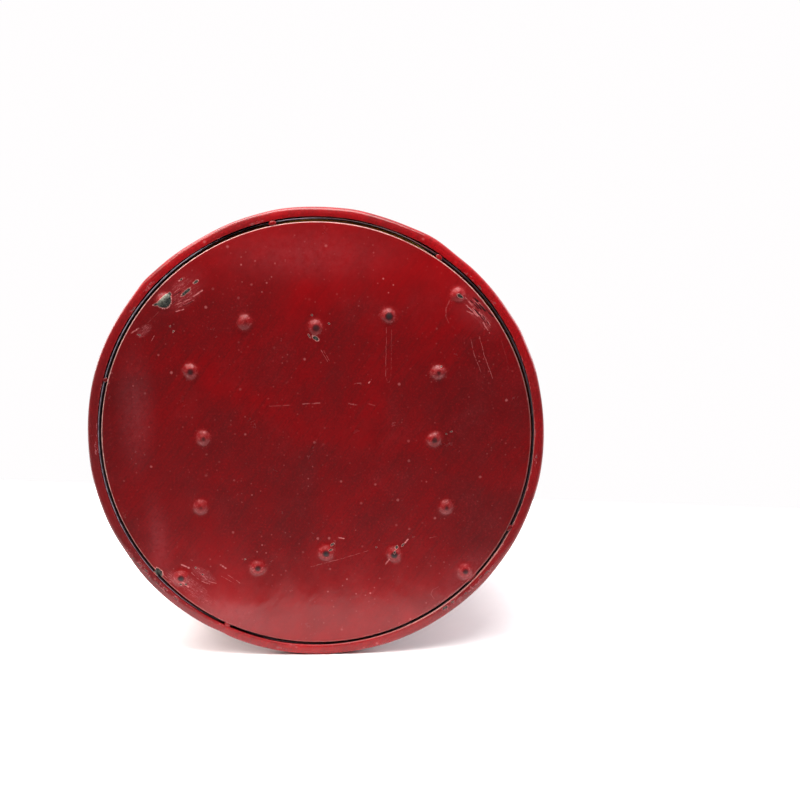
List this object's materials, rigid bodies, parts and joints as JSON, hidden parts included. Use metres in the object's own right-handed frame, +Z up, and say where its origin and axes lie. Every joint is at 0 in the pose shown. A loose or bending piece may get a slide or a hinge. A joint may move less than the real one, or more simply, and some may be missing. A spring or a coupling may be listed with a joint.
{
  "type": "tom tom drum",
  "caption": "Sheet-metal tom tom drum standing on its edge, with a riveted lacquered end plate, rounded hoop and a rod-tensioned playing skin.",
  "frame": {"origin": "on the surface that the drum stands on, under the middle of its width and of its overall length", "axes": "+Z up; +Y along the drum's axis from the closed, riveted end towards the playing head; +X to the right when the closed end faces the viewer"},
  "size_m": [0.325, 0.208, 0.32],
  "materials": {
    "plate_lacquer": "glossy oxblood lacquer on sheet steel, worn and scratched",
    "hoop_lacquer": "glossy crimson lacquer on rolled steel, chipped along its edges",
    "shell_lacquer": "glossy oxblood lacquer on sheet steel",
    "plated_steel": "nickel plate, dulled by age",
    "bare_steel": "bare steel, darkened",
    "grommet_brass": "brass, tarnished",
    "calfskin": "natural calfskin, matt and slightly translucent"
  },
  "bodies": {
    "drum": {"shell": "shell_lacquer", "bottom_hoop": "hoop_lacquer", "bottom_plate": "plate_lacquer", "stiffener_frame": "bare_steel", "rivet_01": "plate_lacquer", "rivet_02": "plate_lacquer", "rivet_03": "plate_lacquer", "rivet_04": "plate_lacquer", "rivet_05": "plate_lacquer", "rivet_06": "plate_lacquer", "rivet_07": "plate_lacquer", "rivet_08": "plate_lacquer", "rivet_09": "plate_lacquer", "rivet_10": "plate_lacquer", "rivet_11": "plate_lacquer", "rivet_12": "plate_lacquer", "rivet_13": "plate_lacquer", "rivet_14": "plate_lacquer", "rivet_15": "plate_lacquer", "rivet_16": "plate_lacquer", "tack_weld_1": "plate_lacquer", "tack_weld_2": "plate_lacquer", "tack_weld_3": "plate_lacquer", "tack_weld_4": "plate_lacquer", "tack_weld_5": "plate_lacquer", "tack_weld_6": "plate_lacquer", "drumhead_skin": "calfskin", "lug_1": "plated_steel", "lug_2": "plated_steel", "lug_3": "plated_steel", "lug_4": "plated_steel", "lug_5": "plated_steel", "lug_6": "plated_steel", "lug_screw_1": "bare_steel", "lug_screw_2": "bare_steel", "lug_screw_3": "bare_steel", "lug_screw_4": "bare_steel", "lug_screw_5": "bare_steel", "lug_screw_6": "bare_steel", "vent_grommet": "grommet_brass"},
    "head_hoops": {"counter_hoop": "hoop_lacquer", "flesh_hoop": "bare_steel", "rod_washer_1": "plated_steel", "rod_washer_2": "plated_steel", "rod_washer_3": "plated_steel", "rod_washer_4": "plated_steel", "rod_washer_5": "plated_steel", "rod_washer_6": "plated_steel"},
    "tension_rod_1": {"tension_rod_1": "plated_steel"},
    "tension_rod_2": {"tension_rod_2": "plated_steel"},
    "tension_rod_3": {"tension_rod_3": "plated_steel"},
    "tension_rod_4": {"tension_rod_4": "plated_steel"},
    "tension_rod_5": {"tension_rod_5": "plated_steel"},
    "tension_rod_6": {"tension_rod_6": "plated_steel"}
  },
  "joints": [
    {"name": "head_travel", "type": "slide", "parent": "drum", "child": "head_hoops", "axis": [0, -1, 0], "range_m": [-0.003, 0.002]},
    {"name": "rod_1_turn", "type": "hinge", "parent": "head_hoops", "child": "tension_rod_1", "pos_m": [0.09363, 0.09595, 0.28888], "axis": [0, -1, 0], "continuous": true},
    {"name": "rod_2_turn", "type": "hinge", "parent": "head_hoops", "child": "tension_rod_2", "pos_m": [0.15843, 0.09595, 0.14335], "axis": [0, -1, 0], "continuous": true},
    {"name": "rod_3_turn", "type": "hinge", "parent": "head_hoops", "child": "tension_rod_3", "pos_m": [0.06479, 0.09595, 0.01447], "axis": [0, -1, 0], "continuous": true},
    {"name": "rod_4_turn", "type": "hinge", "parent": "head_hoops", "child": "tension_rod_4", "pos_m": [-0.09363, 0.09595, 0.03112], "axis": [0, -1, 0], "continuous": true},
    {"name": "rod_5_turn", "type": "hinge", "parent": "head_hoops", "child": "tension_rod_5", "pos_m": [-0.15843, 0.09595, 0.17665], "axis": [0, -1, 0], "continuous": true},
    {"name": "rod_6_turn", "type": "hinge", "parent": "head_hoops", "child": "tension_rod_6", "pos_m": [-0.06479, 0.09595, 0.30553], "axis": [0, -1, 0], "continuous": true}
  ],
  "couplings": [
    {"joint": "rod_1_turn", "follows": "head_travel", "rad_per_m": 7854},
    {"joint": "rod_2_turn", "follows": "head_travel", "rad_per_m": 7854},
    {"joint": "rod_3_turn", "follows": "head_travel", "rad_per_m": 7854},
    {"joint": "rod_4_turn", "follows": "head_travel", "rad_per_m": 7854},
    {"joint": "rod_5_turn", "follows": "head_travel", "rad_per_m": 7854},
    {"joint": "rod_6_turn", "follows": "head_travel", "rad_per_m": 7854}
  ]
}
